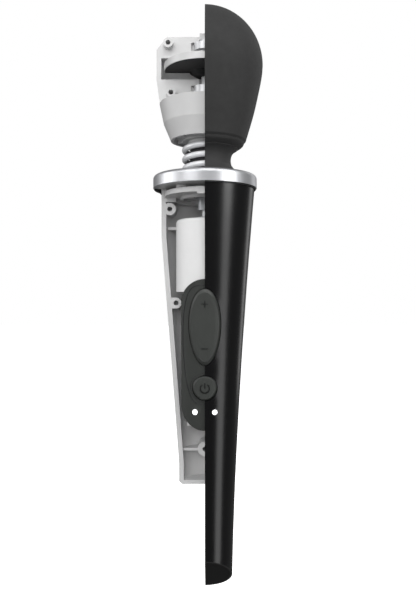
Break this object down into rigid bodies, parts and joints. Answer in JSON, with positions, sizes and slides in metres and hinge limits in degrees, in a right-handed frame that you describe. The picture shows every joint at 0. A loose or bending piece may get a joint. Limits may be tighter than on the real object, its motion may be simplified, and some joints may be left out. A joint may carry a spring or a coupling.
{
  "type": "cordless wand massager",
  "caption": "Cordless wand massager shown as a half section: tapered handle with rocker and power button, sprung neck, and a soft round head over a spinning off-centre weight.",
  "frame": {"origin": "Centre of the hand grip, on the handle's axis.", "axes": "+Z from the grip to the head, -Y the button side, +X to the right of a viewer who faces the buttons."},
  "size_m": [0.0601, 0.0634, 0.3237],
  "materials": {
    "casing_gloss": "high gloss black ABS",
    "satin_metal": "satin polished aluminium",
    "soft_black": "matte black rubber",
    "white_abs": "moulded light grey ABS",
    "frame_white": "moulded white ABS",
    "sleeve_rubber": "white damping rubber",
    "silicone": "matte charcoal silicone",
    "keypad_dark": "fine matte dark grey",
    "light_lens": "clear white lens",
    "screw_steel": "bright zinc plate",
    "spring_steel": "satin plated spring wire",
    "shaft_steel": "satin ground steel",
    "drive_steel": "machined steel",
    "weight_steel": "plated steel",
    "can_steel": "drawn steel",
    "winding_copper": "copper and laminations",
    "bush_iron": "sintered iron",
    "contact_gold": "gold plate",
    "magnet_grey": "bare ferrite",
    "part_black": "moulded black",
    "board_green": "solder mask over glass laminate",
    "cell_wrap": "pale grey shrink wrap over a metal can",
    "nickel_strip": "nickel strip",
    "lead_red": "soft insulation"
  },
  "bodies": {
    "handle": {"outer_casing": "casing_gloss", "end_cap": "casing_gloss", "casing_gasket": "soft_black", "collar_ring": "satin_metal", "neck_retainer": "white_abs", "retainer_screws": "screw_steel", "spring_seat": "white_abs", "seat_screws": "screw_steel", "rear_chassis": "white_abs", "front_chassis": "white_abs", "chassis_screws": "screw_steel", "motor_sleeve": "sleeve_rubber", "motor_can": "can_steel", "motor_end_bell": "part_black", "motor_terminals": "contact_gold", "motor_magnets": "magnet_grey", "motor_bush": "bush_iron", "motor_leads": "lead_red", "neck_spring_lower": "spring_steel", "neck_sleeve_lower": "silicone", "keypad_bezel": "keypad_dark", "light_pipes": "light_lens", "control_board": "board_green", "board_screws": "screw_steel", "tact_switches": "part_black", "board_parts": "part_black", "battery_cell": "cell_wrap", "battery_tabs": "nickel_strip", "battery_leads": "lead_red", "charge_port": "part_black", "charge_contacts": "contact_gold", "charge_leads": "lead_red"},
    "rocker": {"rocker_button": "keypad_dark"},
    "power": {"power_button": "keypad_dark"},
    "motor_rotor": {"motor_shaft": "shaft_steel", "motor_armature": "winding_copper", "motor_coupling": "drive_steel"},
    "neck": {"drive_boot": "soft_black"},
    "drive_rotor": {"drive_shaft": "drive_steel"},
    "head": {"neck_spring_upper": "spring_steel", "neck_sleeve_upper": "silicone", "head_cup": "white_abs", "cup_screws": "screw_steel", "head_frame_rear": "frame_white", "head_frame_front": "frame_white", "head_frame_screws": "screw_steel", "upper_bearing": "shaft_steel", "lower_bearing": "shaft_steel", "head_cover": "silicone"},
    "head_rotor": {"head_shaft": "shaft_steel", "head_coupling": "drive_steel", "eccentric_weight": "weight_steel", "weight_clips": "screw_steel"}
  },
  "joints": [
    {"name": "rocker_tilt", "type": "hinge", "parent": "handle", "child": "rocker", "pos_m": [0, -0.0175, 0.0333], "axis": [1, 0, 0], "range_deg": [-2, 2], "stiffness_Nm_per_rad": 4},
    {"name": "power_press", "type": "slide", "parent": "handle", "child": "power", "axis": [0, 1, 0], "range_m": [0, 0.0004], "stiffness_N_per_m": 3000, "springref_m": -0.0003},
    {"name": "neck_pitch", "type": "hinge", "parent": "handle", "child": "neck", "pos_m": [0, 0, 0.115], "axis": [1, 0, 0], "range_deg": [-15, 15], "stiffness_Nm_per_rad": 3, "deforming": ["neck_spring_lower", "neck_sleeve_lower"]},
    {"name": "neck_roll", "type": "hinge", "parent": "neck", "child": "head", "pos_m": [0, 0, 0.127], "axis": [0, 1, 0], "range_deg": [-15, 15], "stiffness_Nm_per_rad": 3, "deforming": ["neck_spring_upper", "neck_sleeve_upper"]},
    {"name": "head_spin", "type": "hinge", "parent": "head", "child": "head_rotor", "pos_m": [0, 0, 0.1744], "axis": [0, 0, 1], "continuous": true},
    {"name": "motor_spin", "type": "hinge", "parent": "handle", "child": "motor_rotor", "pos_m": [0, 0, 0.0911], "axis": [0, 0, 1], "continuous": true},
    {"name": "drive_spin", "type": "hinge", "parent": "neck", "child": "drive_rotor", "pos_m": [0, 0, 0.121], "axis": [0, 0, 1], "continuous": true}
  ],
  "couplings": [
    {"joint": "motor_spin", "follows": "head_spin", "ratio": 1},
    {"joint": "drive_spin", "follows": "head_spin", "ratio": 1}
  ]
}
